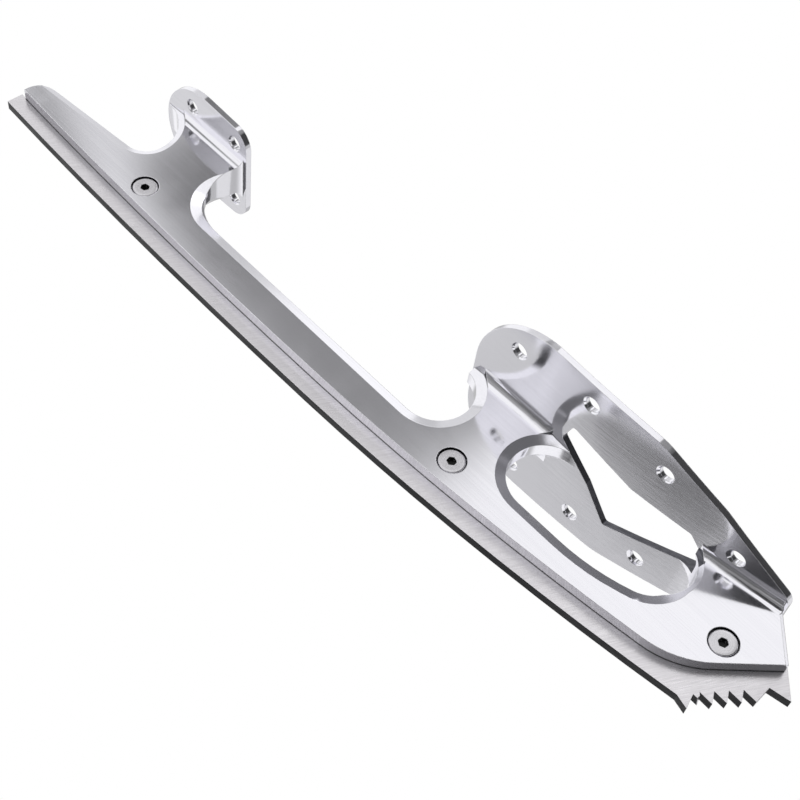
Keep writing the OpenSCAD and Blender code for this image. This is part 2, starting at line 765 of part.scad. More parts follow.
module nut(p) {
    color([0.75, 0.75, 0.75]) translate([p[0], half_w - recess_t, p[1]]) rotate([-90, 0, 0]) difference() {
        union() {
            head();
            translate([0, 0, nut_reach + recess_t - half_w])
                cylinder(h = half_w - recess_t - nut_reach, r = sleeve_r);
        }
        translate([0, 0, recess_t - half_w]) cylinder(h = half_w - recess_t, r = shank_r + shank_play);
        translate([0, 0, -cut]) socket(head_t + cut);
    }
}

module screw_rear() { screw(rear_p); }
module screw_middle() { screw(mid_p); }
module screw_front() { screw(front_p); }
module nut_rear() { nut(rear_p); }
module nut_middle() { nut(mid_p); }
module nut_front() { nut(front_p); }

chassis();
runner();
screw_rear();
screw_middle();
screw_front();
nut_rear();
nut_middle();
nut_front();
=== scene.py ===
"""Looks of a figure skate blade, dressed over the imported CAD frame.

A milled aluminium chassis holds a steel runner with three low-head screws and their sleeve nuts.
Everything is in metres in the frame of the CAD model: +X to the toe, +Z to the boot, -Y the side
that the photograph shows.
"""

import logging
import math
from dataclasses import dataclass, field
from enum import Enum
from typing import Callable, Sequence

import bmesh
import bpy
from mathutils import Matrix, Vector


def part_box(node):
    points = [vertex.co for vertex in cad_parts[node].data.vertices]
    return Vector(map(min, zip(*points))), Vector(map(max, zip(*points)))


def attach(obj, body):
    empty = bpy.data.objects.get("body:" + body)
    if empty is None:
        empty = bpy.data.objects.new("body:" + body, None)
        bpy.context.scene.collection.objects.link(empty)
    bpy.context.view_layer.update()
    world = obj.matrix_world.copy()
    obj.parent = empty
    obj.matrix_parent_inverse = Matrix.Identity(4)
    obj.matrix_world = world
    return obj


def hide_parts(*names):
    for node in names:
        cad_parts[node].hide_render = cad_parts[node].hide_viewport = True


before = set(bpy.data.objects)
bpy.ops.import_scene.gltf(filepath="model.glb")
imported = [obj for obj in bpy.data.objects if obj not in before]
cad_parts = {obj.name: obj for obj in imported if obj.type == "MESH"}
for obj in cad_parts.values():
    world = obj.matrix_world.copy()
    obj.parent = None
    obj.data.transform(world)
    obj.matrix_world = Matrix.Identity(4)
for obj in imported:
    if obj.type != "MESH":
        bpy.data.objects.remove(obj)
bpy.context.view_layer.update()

BODY = "root"
MM = 0.001
MICRON = 0.001 * MM
RADIUS_LAYER = "turn_radius"

Color = tuple[float, float, float, float]
Reach = Callable[[float], float]

log = logging.getLogger("skate_blade")


class Grain(Enum):
    """Ways in which a tool leaves its marks on metal."""

    LENGTHWISE = "along the blade"
    CROSS = "across the blade"
    TURNED = "round the axis"


class Effect(Enum):
    """Effects that are built once as a shader node group."""

    STREAKS = "streaks"
    HANDLING = "handling"
    EDGE_WEAR = "edge_wear"
    CARD = "card"


class Ray(Enum):
    """Kinds of ray that see the backdrop instead of the studio's light."""

    CAMERA = "Is Camera Ray"
    GLOSSY = "Is Glossy Ray"
    TRANSMISSION = "Is Transmission Ray"


class Kind(Enum):
    """Kinds of fastener: their name, and the side of the blade that their heads face."""

    SCREW = ("screw", -1.0)
    NUT = ("nut", 1.0)

    def __init__(self, label: str, side: float) -> None:
        """Keeps the name and the side."""
        self.label = label
        self.side = side


class Net:
    """A node tree with short calls that add a node, set its inputs and join its sockets."""

    def __init__(self, tree: bpy.types.NodeTree) -> None:
        """Wraps a shader or geometry tree to add nodes to."""
        self.tree = tree

    def add(self, kind: str, inputs: dict | None = None, **settings: object) -> bpy.types.Node:
        """Adds a node.

        Args:
            kind: the node's type name.
            inputs: values or sockets for its inputs, by name or number.
            settings: the node's own properties.

        Returns:
            The new node.
        """
        node = self.tree.nodes.new(kind)
        for key, value in settings.items():
            setattr(node, key, value)
        for key, value in (inputs or {}).items():
            self.feed(node.inputs[key], value)
        return node

    def feed(self, socket: bpy.types.NodeSocket, value: object) -> None:
        """Sets an input.

        Args:
            socket: the input.
            value: a socket to link it to, or its plain value.
        """
        if isinstance(value, bpy.types.NodeSocket):
            self.tree.links.new(value, socket)
        else:
            socket.default_value = value

    def math(self, operation: str, *values: object) -> bpy.types.NodeSocket:
        """Adds a Math node and returns its result."""
        return self.add("ShaderNodeMath", dict(enumerate(values)), operation=operation).outputs[0]

    def smooth(self, value: object, start: float, end: float) -> bpy.types.NodeSocket:
        """Adds a smooth step of a value from 0 at start to 1 at end, and returns its result."""
        node = self.add("ShaderNodeMapRange", {"Value": value, "From Min": start, "From Max": end},
                        interpolation_type="SMOOTHSTEP")
        return node.outputs["Result"]

    def mix(self, factor: object, a: object, b: object) -> bpy.types.NodeSocket:
        """Adds a colour mix from a to b and returns its result."""
        return self.add("ShaderNodeMix", {0: factor, 6: a, 7: b}, data_type="RGBA").outputs[2]

    def blend(self, factor: object, a: object, b: object) -> bpy.types.NodeSocket:
        """Adds a mix of numbers from a to b and returns its result."""
        return self.add("ShaderNodeMix", {0: factor, 2: a, 3: b}, data_type="FLOAT").outputs[0]

    def noise(self, vector: bpy.types.NodeSocket, scale: object, detail: float,
              roughness: float = 0.5, distortion: float = 0.0) -> bpy.types.NodeSocket:
        """Adds a Noise Texture.

        Args:
            vector: where it is read.
            scale: its waves for each unit of the vector.
            detail: how many finer layers it has.
            roughness: how strong the finer layers are.
            distortion: how far its waves are bent.

        Returns:
            Its value, about 0 to 1.
        """
        node = self.add("ShaderNodeTexNoise", {
            "Vector": vector, "Scale": scale, "Detail": detail, "Roughness": roughness,
            "Distortion": distortion})
        return node.outputs[0]


def rgb(red: float, green: float, blue: float) -> Color:
    """A colour with full alpha."""
    return (red, green, blue, 1.0)


def grey(level: float) -> Color:
    """A neutral colour with full alpha."""
    return rgb(level, level, level)


def empty_material(name: str) -> tuple[bpy.types.Material, Net]:
    """Makes a node material without nodes.

    Args:
        name: its name.

    Returns:
        The material, and its tree as a Net.
    """
    material = bpy.data.materials.new(name)
    material.use_nodes = True
    material.node_tree.nodes.clear()
    return material, Net(material.node_tree)


class ShaderGroups:
    """Shader node groups for effects that more than one finish or card uses."""

    BROAD_SHARE = 0.7

    _made: dict[Effect, bpy.types.NodeTree] = {}

    @classmethod
    def place(cls, net: Net, effect: Effect, inputs: dict[str, object]) -> bpy.types.Node:
        """Places a group in a tree, and builds it on first use.

        Args:
            net: the tree that takes it.
            effect: which group.
            inputs: values or sockets for its inputs.

        Returns:
            The group's node.
        """
        if effect not in cls._made:
            build = {Effect.STREAKS: cls._streaks, Effect.HANDLING: cls._handling,
                     Effect.EDGE_WEAR: cls._edge_wear, Effect.CARD: cls._card}[effect]
            cls._made[effect] = build()
        return net.add("ShaderNodeGroup", inputs, node_tree=cls._made[effect])

    @staticmethod
    def _new(effect: Effect, inputs: dict[str, float | None],
             *outputs: str) -> tuple[Net, bpy.types.Node, bpy.types.Node]:
        """Makes an empty group.

        Args:
            effect: what it is for, which names it.
            inputs: the default value of each input, or None for a vector.
            outputs: names of its outputs, all of them floats.

        Returns:
            The tree as a Net, its input node and its output node.
        """
        tree = bpy.data.node_groups.new(effect.value, "ShaderNodeTree")
        for key, value in inputs.items():
            kind = "NodeSocketVector" if value is None else "NodeSocketFloat"
            socket = tree.interface.new_socket(name=key, in_out="INPUT", socket_type=kind)
            if value is not None:
                socket.default_value = value
        for key in outputs:
            tree.interface.new_socket(name=key, in_out="OUTPUT", socket_type="NodeSocketFloat")
        net = Net(tree)
        return net, net.add("NodeGroupInput"), net.add("NodeGroupOutput")

    @classmethod
    def _streaks(cls) -> bpy.types.NodeTree:
        """Builds long marks of a cutter or a grinding wheel: fine lines within broader ones.

        Returns:
            The group's tree.
        """
        net, entry, end = cls._new(
            Effect.STREAKS, {"Vector": None, "Along": 8.0, "Across": 900.0, "Turn": 0.0},
            "Height", "Tone")
        given = entry.outputs
        turn = net.add("ShaderNodeCombineXYZ", {"Y": given["Turn"]})
        turned = net.add("ShaderNodeMapping", {
            "Vector": given["Vector"], "Rotation": turn.outputs[0]}, vector_type="POINT")
        stretch = net.add("ShaderNodeCombineXYZ", {
            "X": given["Along"], "Y": given["Across"], "Z": given["Across"]})
        spread = net.add("ShaderNodeVectorMath", {0: turned.outputs[0], 1: stretch.outputs[0]},
                         operation="MULTIPLY")
        broad = net.noise(spread.outputs[0], scale=1.0, detail=3.0, roughness=0.62)
        fine = net.noise(spread.outputs[0], scale=3.7, detail=2.0)
        net.feed(end.inputs["Height"], net.blend(cls.BROAD_SHARE, fine, broad))
        net.feed(end.inputs["Tone"], net.smooth(broad, start=0.3, end=0.7))
        return net.tree

    @classmethod
    def _handling(cls) -> bpy.types.NodeTree:
        """Builds soft patches where hands and cloths have been, for roughness.

        Returns:
            The group's tree.
        """
        net, entry, end = cls._new(Effect.HANDLING, {"Vector": None, "Size": 40.0}, "Mask")
        patch = net.noise(entry.outputs["Vector"], scale=entry.outputs["Size"], detail=4.0,
                          roughness=0.55, distortion=0.6)
        net.feed(end.inputs["Mask"], net.smooth(patch, start=0.35, end=0.68))
        return net.tree

    @classmethod
    def _edge_wear(cls) -> bpy.types.NodeTree:
        """Builds edges rubbed bright, found where the rounded normal leaves the face's own one.

        Returns:
            The group's tree.
        """
        net, entry, end = cls._new(
            Effect.EDGE_WEAR, {"Vector": None, "Normal": None, "Rounded": None}, "Mask")
        match = net.add("ShaderNodeVectorMath", {
            0: entry.outputs["Normal"], 1: entry.outputs["Rounded"]}, operation="DOT_PRODUCT")
        bend = net.math("SUBTRACT", 1.0, match.outputs["Value"])
        rubbed = net.noise(entry.outputs["Vector"], scale=260.0, detail=2.0)
        net.feed(end.inputs["Mask"], net.math("MULTIPLY", net.smooth(bend, start=0.004, end=0.06),
                                              net.smooth(rubbed, start=0.25, end=0.6)))
        return net.tree

    @classmethod
    def _card(cls) -> bpy.types.NodeTree:
        """Builds a rectangle of directions with soft sides, all in degrees.

        Returns:
            The group's tree.
        """
        net, entry, end = cls._new(
            Effect.CARD, {"Vector": None, "Azimuth": 0.0, "Half": 10.0, "Low": 0.0, "High": 10.0,
                          "Soft Side": 1.0, "Soft End": 1.0}, "Mask")
        given = entry.outputs
        parts = net.add("ShaderNodeSeparateXYZ", {0: given["Vector"]}).outputs
        around = net.math("DEGREES", net.math("ARCTAN2", parts["Y"], parts["X"]))
        off = net.math("WRAP", net.math("SUBTRACT", around, given["Azimuth"]), 180.0, -180.0)
        up = net.math("DEGREES", net.math("ARCSINE", parts["Z"]))
        sides = net.math("SUBTRACT", given["Half"], net.math("ABSOLUTE", off))
        foot = net.math("SUBTRACT", up, given["Low"])
        head = net.math("SUBTRACT", given["High"], up)
        ends = net.math("MULTIPLY", cls._inside(net, foot, given["Soft End"]),
                        cls._inside(net, head, given["Soft End"]))
        net.feed(end.inputs["Mask"],
                 net.math("MULTIPLY", cls._inside(net, sides, given["Soft Side"]), ends))
        return net.tree

    @staticmethod
    def _inside(net: Net, depth: bpy.types.NodeSocket,
                soft: bpy.types.NodeSocket) -> bpy.types.NodeSocket:
        """Adds a smooth step from 0 to 1 where depth goes from -soft to soft, and returns it."""
        return net.smooth(net.math("DIVIDE", depth, soft), start=-1.0, end=1.0)


@dataclass(frozen=True)
class Surface:
    """Sockets that tell a material where the shaded point is and how the surface lies there."""

    place: bpy.types.NodeSocket
    normal: bpy.types.NodeSocket
    rounded: bpy.types.NodeSocket
    radius: bpy.types.NodeSocket | None


@dataclass(frozen=True)
class Finish:
    """A metal finish: its colour, how rough it is, and the marks that the tool left.

    Along and across are the marks' waves for each metre, or for each radius on a turned piece.
    Depth, edge and joint are lengths: of the marks' relief, of the rounding that light sees at an
    edge, and of the reach of the painted shade, with some dirt, in corners and joints.
    """

    name: str
    color: Color
    dark: Color
    roughness: float
    spread: float
    across: float
    depth: float
    tone: float
    grain: Grain = Grain.LENGTHWISE
    along: float = 1.0
    plate_across: float = 0.0
    plate_depth: float = 0.0
    brushed: float = 0.0
    edge: float = 0.12 * MM
    joint: float = 0.5 * MM
    # Strength of the painted shade, with some dirt, in corners and joints.
    joint_dirt_and_shade: float = 0.9
    wear: float = 0.5
    worn: Color = rgb(0.95, 0.95, 0.97)
    # Colour of the painted shade and dirt in corners and joints.
    shade_and_dirt: Color = grey(0.015)
    # Colour of the painted shade inside a turned piece's socket.
    socket_shade: Color = grey(0.02)
    cross_turn: float = math.radians(62.0)
    brushed_turn: float = 0.25
    near_samples: int = 6

    def build(self) -> bpy.types.Material:
        """Builds the material.

        Returns:
            A node material whose colour, roughness and bump vary over the surface.
        """
        material, net = empty_material(self.name)
        surface = self._surface(net)
        height, tone = self._marks(net, surface)
        relief = net.math("MULTIPLY", height, self.depth)
        down = self._facing_down(net, surface)
        if self.plate_depth:
            relief = net.math("ADD", relief, self._plate_relief(net, surface, down))
        bump = net.add("ShaderNodeBump", {
            "Strength": 1.0, "Distance": 1.0, "Height": relief, "Normal": surface.rounded})
        shader = net.add("ShaderNodeBsdfPrincipled", {
            "Base Color": self._color(net, surface, tone), "Metallic": 1.0,
            "Roughness": self._roughness(net, surface, tone), "Normal": bump.outputs[0]})
        if self.brushed:
            net.feed(shader.inputs["Anisotropic"], net.math("MULTIPLY", down, self.brushed))
            net.feed(shader.inputs["Anisotropic Rotation"], self.brushed_turn)
            along = net.add("ShaderNodeCombineXYZ", {"X": 1.0})
            net.feed(shader.inputs["Tangent"], along.outputs[0])
        net.add("ShaderNodeOutputMaterial", {"Surface": shader.outputs[0]})
        return material

    def _surface(self, net: Net) -> Surface:
        """Adds the nodes that read the shaded point.

        Args:
            net: the material's nodes.

        Returns:
            Their sockets; the share of the radius only on a turned piece.
        """
        place = net.add("ShaderNodeTexCoord").outputs
        rounded = net.add("ShaderNodeBevel", {"Radius": self.edge}, samples=self.near_samples)
        radius = None
        if self.grain is Grain.TURNED:
            layer = net.add("ShaderNodeAttribute", attribute_name=RADIUS_LAYER)
            radius = layer.outputs["Fac"]
        return Surface(place["Object"], place["Normal"], rounded.outputs[0], radius)

    def _marks(self, net: Net, surface: Surface) -> tuple[bpy.types.NodeSocket, ...]:
        """Adds the nodes of the tool's marks.

        Args:
            net: the material's nodes.
            surface: the shaded point.

        Returns:
            The height and the tone of the marks.
        """
        if surface.radius is not None:
            rings = net.add("ShaderNodeCombineXYZ", {"X": surface.radius})
            wave = net.noise(rings.outputs[0], scale=self.across, detail=3.0)
            return wave, net.smooth(wave, start=0.35, end=0.65)
        turn = self.cross_turn if self.grain is Grain.CROSS else 0.0
        marks = ShaderGroups.place(net, Effect.STREAKS, {
            "Vector": surface.place, "Along": self.along, "Across": self.across, "Turn": turn})
        return marks.outputs["Height"], marks.outputs["Tone"]

    def _facing_down(self, net: Net, surface: Surface) -> bpy.types.NodeSocket | None:
        """Adds a mask of the plates' undersides.

        Args:
            net: the material's nodes.
            surface: the shaded point.

        Returns:
            A mask that is 1 where the surface faces down, or None if the finish needs none.
        """
        if not (self.plate_depth or self.brushed):
            return None
        parts = net.add("ShaderNodeSeparateXYZ", {0: surface.normal})
        down = net.math("MULTIPLY", parts.outputs["Z"], -1.0)
        return net.smooth(down, start=0.9, end=0.98)

    def _plate_relief(self, net: Net, surface: Surface,
                      down: bpy.types.NodeSocket) -> bpy.types.NodeSocket:
        """Adds the coarser passes of the cutter on the plates' undersides.

        Args:
            net: the material's nodes.
            surface: the shaded point.
            down: the mask of the undersides.

        Returns:
            The height of the passes in metres.
        """
        passes = ShaderGroups.place(net, Effect.STREAKS, {
            "Vector": surface.place, "Along": self.along, "Across": self.plate_across})
        level = net.math("MULTIPLY", down, self.plate_depth)
        return net.math("MULTIPLY", passes.outputs["Height"], level)

    def _color(self, net: Net, surface: Surface,
               tone: bpy.types.NodeSocket) -> bpy.types.NodeSocket:
        """Adds the nodes of the colour: the metal's own, worn edges, and painted shade in sockets,
        corners and joints, with some dirt in the joints.

        Args:
            net: the material's nodes.
            surface: the shaded point.
            tone: the tone of the tool's marks.

        Returns:
            The colour.
        """
        color = net.mix(net.math("MULTIPLY", tone, self.tone), self.color, self.dark)
        worn = ShaderGroups.place(net, Effect.EDGE_WEAR, {
            "Vector": surface.place, "Normal": surface.normal, "Rounded": surface.rounded})
        color = net.mix(net.math("MULTIPLY", worn.outputs["Mask"], self.wear), color, self.worn)
        if surface.radius is not None:
            # Painted shade: the socket and the nut's bore, inside about a third of the head's
            # radius, are darkened near black as shade in the recess.
            outside = net.smooth(surface.radius, start=0.29, end=0.37)
            color = net.mix(outside, self.socket_shade, color)
        # Painted shade: an ambient occlusion mask darkens corners, joints and narrow gaps within
        # the joint's reach as shade there, with some dirt in the joints.
        near = net.add("ShaderNodeAmbientOcclusion", {"Distance": self.joint},
                       samples=self.near_samples)
        joint_dirt_and_shade = net.smooth(near.outputs["AO"], start=0.92, end=0.55)
        return net.mix(net.math("MULTIPLY", joint_dirt_and_shade, self.joint_dirt_and_shade), color, self.shade_and_dirt)

    def _roughness(self, net: Net, surface: Surface,
                   tone: bpy.types.NodeSocket) -> bpy.types.NodeSocket:
        """Adds the nodes of the roughness: the finish's own, handling, and the tool's marks.

        Args:
            net: the material's nodes.
            surface: the shaded point.
            tone: the tone of the tool's marks.

        Returns:
            The roughness.
        """
        handled = ShaderGroups.place(net, Effect.HANDLING, {"Vector": surface.place})
        rough = net.math("MULTIPLY", handled.outputs["Mask"], self.spread)
        rough = net.math("ADD", self.roughness, rough)
        return net.math("ADD", rough, net.math("MULTIPLY", tone, self.spread))


MILLED = Finish("milled_aluminium", rgb(0.90, 0.895, 0.94), rgb(0.80, 0.795, 0.85), roughness=0.09,
                spread=0.02, along=5.0, across=2400.0, depth=1.0 * MICRON, tone=0.35,
                plate_across=900.0, plate_depth=10.0 * MICRON, brushed=0.6, edge=0.25 * MM)
# Sawn marks on the upright sides inside the sole's opening; their dark grey colour is painted shade
# in the opening.
SAWN_SHADED = Finish("sawn_aluminium_painted_shade", rgb(0.16, 0.16, 0.18), rgb(0.06, 0.06, 0.07), roughness=0.3,
              spread=0.08, along=60.0, across=900.0, depth=10.0 * MICRON, tone=0.6)
GROUND = Finish("cross_ground_steel", rgb(0.88, 0.86, 0.89), rgb(0.66, 0.64, 0.67), roughness=0.26,
                spread=0.05, grain=Grain.CROSS, along=140.0, across=3200.0, depth=12.0 * MICRON,
                tone=0.55, joint=0.45 * MM)
# Ground marks on the runner's downward faces; their near-black colour is painted shade for the dark
# that they reflect.
SHADED_EDGE = Finish("ground_edge_painted_shade", rgb(0.03, 0.03, 0.033), rgb(0.012, 0.012, 0.014), roughness=0.35,
              spread=0.1, along=20.0, across=2600.0, depth=6.0 * MICRON, tone=0.8, wear=0.05)
TURNED = Finish("turned_steel", rgb(0.74, 0.73, 0.76), rgb(0.56, 0.55, 0.58), roughness=0.22,
                spread=0.06, grain=Grain.TURNED, across=30.0, depth=20.0 * MICRON, tone=0.5,
                joint=0.25 * MM, joint_dirt_and_shade=0.7)


def finish_piece(piece: bpy.types.Object, slot: str, *nodes: str) -> None:
    """Fixes a finished piece to the blade's body and reports it.

    Args:
        piece: the object, at the origin with its place in its mesh.
        slot: the name of the piece's material slot; not used.
        nodes: the CAD nodes that it stands for.
    """
    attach(piece, BODY)
    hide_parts(*nodes)
    log.info("%s: %d faces, for %s", piece.name, len(piece.data.polygons), ", ".join(nodes))


def new_object(name: str, mesh: bpy.types.Mesh) -> bpy.types.Object:
    """Links a new object into the scene.

    Args:
        name: its name.
        mesh: the mesh that it holds.

    Returns:
        The object.
    """
    made = bpy.data.objects.new(name, mesh)
    bpy.context.scene.collection.objects.link(made)
    return made


def new_mesh(name: str, work: bmesh.types.BMesh) -> bpy.types.Mesh:
    """Turns a working mesh into a plain one and frees it.

    Args:
        name: the new mesh's name.
        work: the working mesh.

    Returns:
        The plain mesh.
    """
    mesh = bpy.data.meshes.new(name)
    work.to_mesh(mesh)
    work.free()
    return mesh


def shade(work: bmesh.types.BMesh, sharp_angle: float) -> None:
    """Shades a mesh smooth, apart from its true edges.

    Args:
        work: the working mesh.
        sharp_angle: the angle between two faces from which their edge stays sharp.
    """
    for face in work.faces:
        face.smooth = True
    for edge in work.edges:
        edge.smooth = not edge.is_manifold or edge.calc_face_angle(0.0) < sharp_angle


def bake(source: bpy.types.Object, name: str) -> None:
    """Gives an object the plain mesh that its modifiers make, and drops the modifiers.

    Args:
        source: the object.
        name: the name of the new mesh.
    """
    graph = bpy.context.evaluated_depsgraph_get()
    graph.update()
    mesh = bpy.data.meshes.new_from_object(source.evaluated_get(graph), depsgraph=graph,
                                           preserve_all_data_layers=True)
    mesh.name = name
    source.modifiers.clear()
    source.data = mesh


@dataclass
class MilledPiece:
    """A merged copy of a CAD node, with its own finishes."""

    node: str
    name: str
    slot: str
    finishes: tuple[Finish, ...]
    weld: float = 0.1 * MICRON
    sharp_angle: float = math.radians(17.8)

    def build(self) -> bpy.types.Object:
        """Makes the piece, dresses it and fixes it to the body.

        Returns:
            The finished object.
        """
        piece = new_object(self.name, self._clean_copy())
        for finish in self.finishes:
            piece.data.materials.append(finish.build())
        for face in piece.data.polygons:
            face.material_index = self._finish_of(face)
        even = piece.modifiers.new("flat_normals", "WEIGHTED_NORMAL")
        even.keep_sharp = True
        bake(piece, self.name)
        finish_piece(piece, self.slot, self.node)
        return piece

    def _clean_copy(self) -> bpy.types.Mesh:
        """Copies the node's mesh with its seams closed and its true edges marked sharp.

        Returns:
            The copy.
        """
        work = bmesh.new()
        work.from_mesh(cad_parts[self.node].data)
        bmesh.ops.remove_doubles(work, verts=work.verts, dist=self.weld)
        shade(work, self.sharp_angle)
        return new_mesh(self.name, work)

    def _finish_of(self, face: bpy.types.MeshPolygon) -> int:
        """Number of the finish that a face takes: the first, unless a piece says otherwise."""
        return 0


@dataclass
class Chassis(MilledPiece):
    """The aluminium chassis; the narrow sides of the sole's opening take sawn marks and a dark grey
    that is painted shade.
    """

    low: Vector = field(default_factory=lambda: Vector((60.0, -17.0, 44.7)) * MM)
    high: Vector = field(default_factory=lambda: Vector((115.5, 16.0, 52.0)) * MM)
    upright: float = 0.3

    def _finish_of(self, face: bpy.types.MeshPolygon) -> int:
        """Gives the upright faces inside the opening's box the second finish, whose dark grey is
        painted shade.
        """
        inside = all(a < v < b for a, v, b in zip(self.low, face.center, self.high))
        return int(inside and abs(face.normal.z) < self.upright)


@dataclass
class Runner(MilledPiece):
    """The steel runner: ground sides, and downward faces painted near-black as shade."""

    down: float = -0.6

    def _finish_of(self, face: bpy.types.MeshPolygon) -> int:
        """Gives the faces that look down to the ice the second finish, whose near-black is painted
        shade.
        """
        return int(face.normal.z < self.down)


@dataclass
class Fasteners:
    """Low-head screws on one side and sleeve nuts on the other, set out by Geometry Nodes."""

    count: int = 60
    head_height: float = 1.9 * MM
    rim: float = 0.45 * MM
    rim_steps: int = 4
    top_steps: int = 3
    socket: float = 2.5 * MM
    socket_depth: float = 1.3 * MM
    chamfer: float = 0.15 * MM
    shank: float = 2.0 * MM
    bore: float = 2.1 * MM
    sleeve: float = 2.9 * MM
    weld: float = 1.0 * MICRON
    sharp_angle: float = math.radians(35.0)
    turns: tuple[float, ...] = (math.radians(12.0), math.radians(41.0), math.radians(25.0))
    places: tuple[str, ...] = ("rear", "middle", "front")

    def build(self) -> None:
        """Makes the screws and the nuts, each row of three as one piece."""
        material = TURNED.build()
        for kind in Kind:
            nodes = [f"{kind.label}_{place}" for place in self.places]
            pattern = self._pattern(kind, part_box(nodes[0]))
            piece = self._set_out(kind, pattern, nodes, material)
            bpy.data.objects.remove(pattern)
            finish_piece(piece, kind.label, *nodes)

    @staticmethod
    def _circle(radius: float) -> Reach:
        """Radius of a circle, as a function of the angle."""
        return lambda angle: radius

    @staticmethod
    def _hexagon(width: float) -> Reach:
        """Radius of a hexagon of a width across its flats, as a function of the angle."""
        sixth = math.pi / 3
        return lambda angle: width / 2 / math.cos(angle % sixth - sixth / 2)

    def _pattern(self, kind: Kind, limits: tuple[Vector, Vector]) -> bpy.types.Object:
        """Makes one fastener about its own axis, with its head's top at the far end of +Z.

        Args:
            kind: screw or nut.
            limits: the box of its CAD node.

        Returns:
            An object that serves as the pattern of the row.
        """
        low, high = limits
        head = (high.x - low.x) / 2
        top = self.head_height
        foot = top - (high.y - low.y)
        floor = top - self.socket_depth
        hexagon, circle = self._hexagon(self.socket), self._circle
        if kind is Kind.SCREW:
            rings = [(circle(0.0), floor - self.chamfer), (hexagon, floor)]
            body, last = circle(self.shank), (circle(0.0), foot)
        else:
            rings = [(circle(self.bore), foot), (circle(self.bore), 0.0), (hexagon, 0.0)]
            body, last = circle(self.sleeve), rings[0]
        rings.append((hexagon, top - self.chamfer))
        rings.append((self._hexagon(self.socket + 2 * self.chamfer), top))
        inner = self.socket / 2
        for step in range(1, self.top_steps + 1):
            reach = inner + (head - self.rim - inner) * step / self.top_steps
            rings.append((circle(reach), top))
        for step in range(1, self.rim_steps + 1):
            angle = math.pi / 2 * step / self.rim_steps
            reach = head - self.rim * (1 - math.sin(angle))
            rings.append((circle(reach), top - self.rim * (1 - math.cos(angle))))
        rings += [(circle(head), 0.0), (body, 0.0), (body, foot), last]
        name = kind.label + "_pattern"
        return new_object(name, self._lathe(name, rings, head))

    def _lathe(self, name: str, rings: Sequence[tuple[Reach, float]],
               head: float) -> bpy.types.Mesh:
        """Joins rings of points into one closed skin, each point with its share of the radius.

        Args:
            name: the mesh's name.
            rings: the radius and the height of each ring.
            head: the radius that counts as 1.

        Returns:
            The skin.
        """
        work = bmesh.new()
        share = work.verts.layers.float.new(RADIUS_LAYER)
        rows = []
        for reach, height in rings:
            row = []
            for step in range(self.count):
                angle = 2 * math.pi * step / self.count
                radius = reach(angle)
                point = work.verts.new((radius * math.cos(angle), radius * math.sin(angle), height))
                point[share] = radius / head
                row.append(point)
            rows.append(row)
        for inner, outer in zip(rows, rows[1:]):
            for step in range(self.count):
                after = (step + 1) % self.count
                work.faces.new((inner[step], inner[after], outer[after], outer[step]))
        bmesh.ops.remove_doubles(work, verts=work.verts, dist=self.weld)
        bmesh.ops.recalc_face_normals(work, faces=work.faces)
        shade(work, self.sharp_angle)
        return new_mesh(name, work)

    def _seats(self, name: str, kind: Kind, nodes: Sequence[str]) -> bpy.types.Mesh:
        """Makes a mesh with one point, and the angle of its hexagon, for each fastener.

        Args:
            name: the mesh's name.
            kind: screw or nut.
            nodes: the CAD nodes that give the places.

        Returns:
            The points, each where its head meets the chassis.
        """
        seats = []
        for node in nodes:
            low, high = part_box(node)
            seat = low.y + self.head_height if kind.side < 0 else high.y - self.head_height
            seats.append(((low.x + high.x) / 2, seat, (low.z + high.z) / 2))
        mesh = bpy.data.meshes.new(name)
        mesh.from_pydata(seats, [], [])
        turn = mesh.attributes.new("turn", "FLOAT", "POINT")
        for item, angle in zip(turn.data, self.turns):
            item.value = angle
        return mesh

    def _set_out(self, kind: Kind, pattern: bpy.types.Object, nodes: Sequence[str],
                 material: bpy.types.Material) -> bpy.types.Object:
        """Sets the pattern out on the places of its CAD nodes.

        Args:
            kind: screw or nut.
            pattern: one fastener about its own axis.
            nodes: the CAD nodes that give the places.
            material: the fasteners' finish.

        Returns:
            The row of fasteners as one plain mesh.
        """
        name = kind.label + "s"
        row = new_object(name, self._seats(name, kind, nodes))
        tree = self._row_tree()
        modifier = row.modifiers.new("row", "NODES")
        modifier.node_group = tree
        values = {"Pattern": pattern, "Lean": -kind.side * math.pi / 2, "Finish": material}
        for item in tree.interface.items_tree:
            if item.name in values:
                modifier[item.identifier] = values[item.name]
        bake(row, name)
        return row

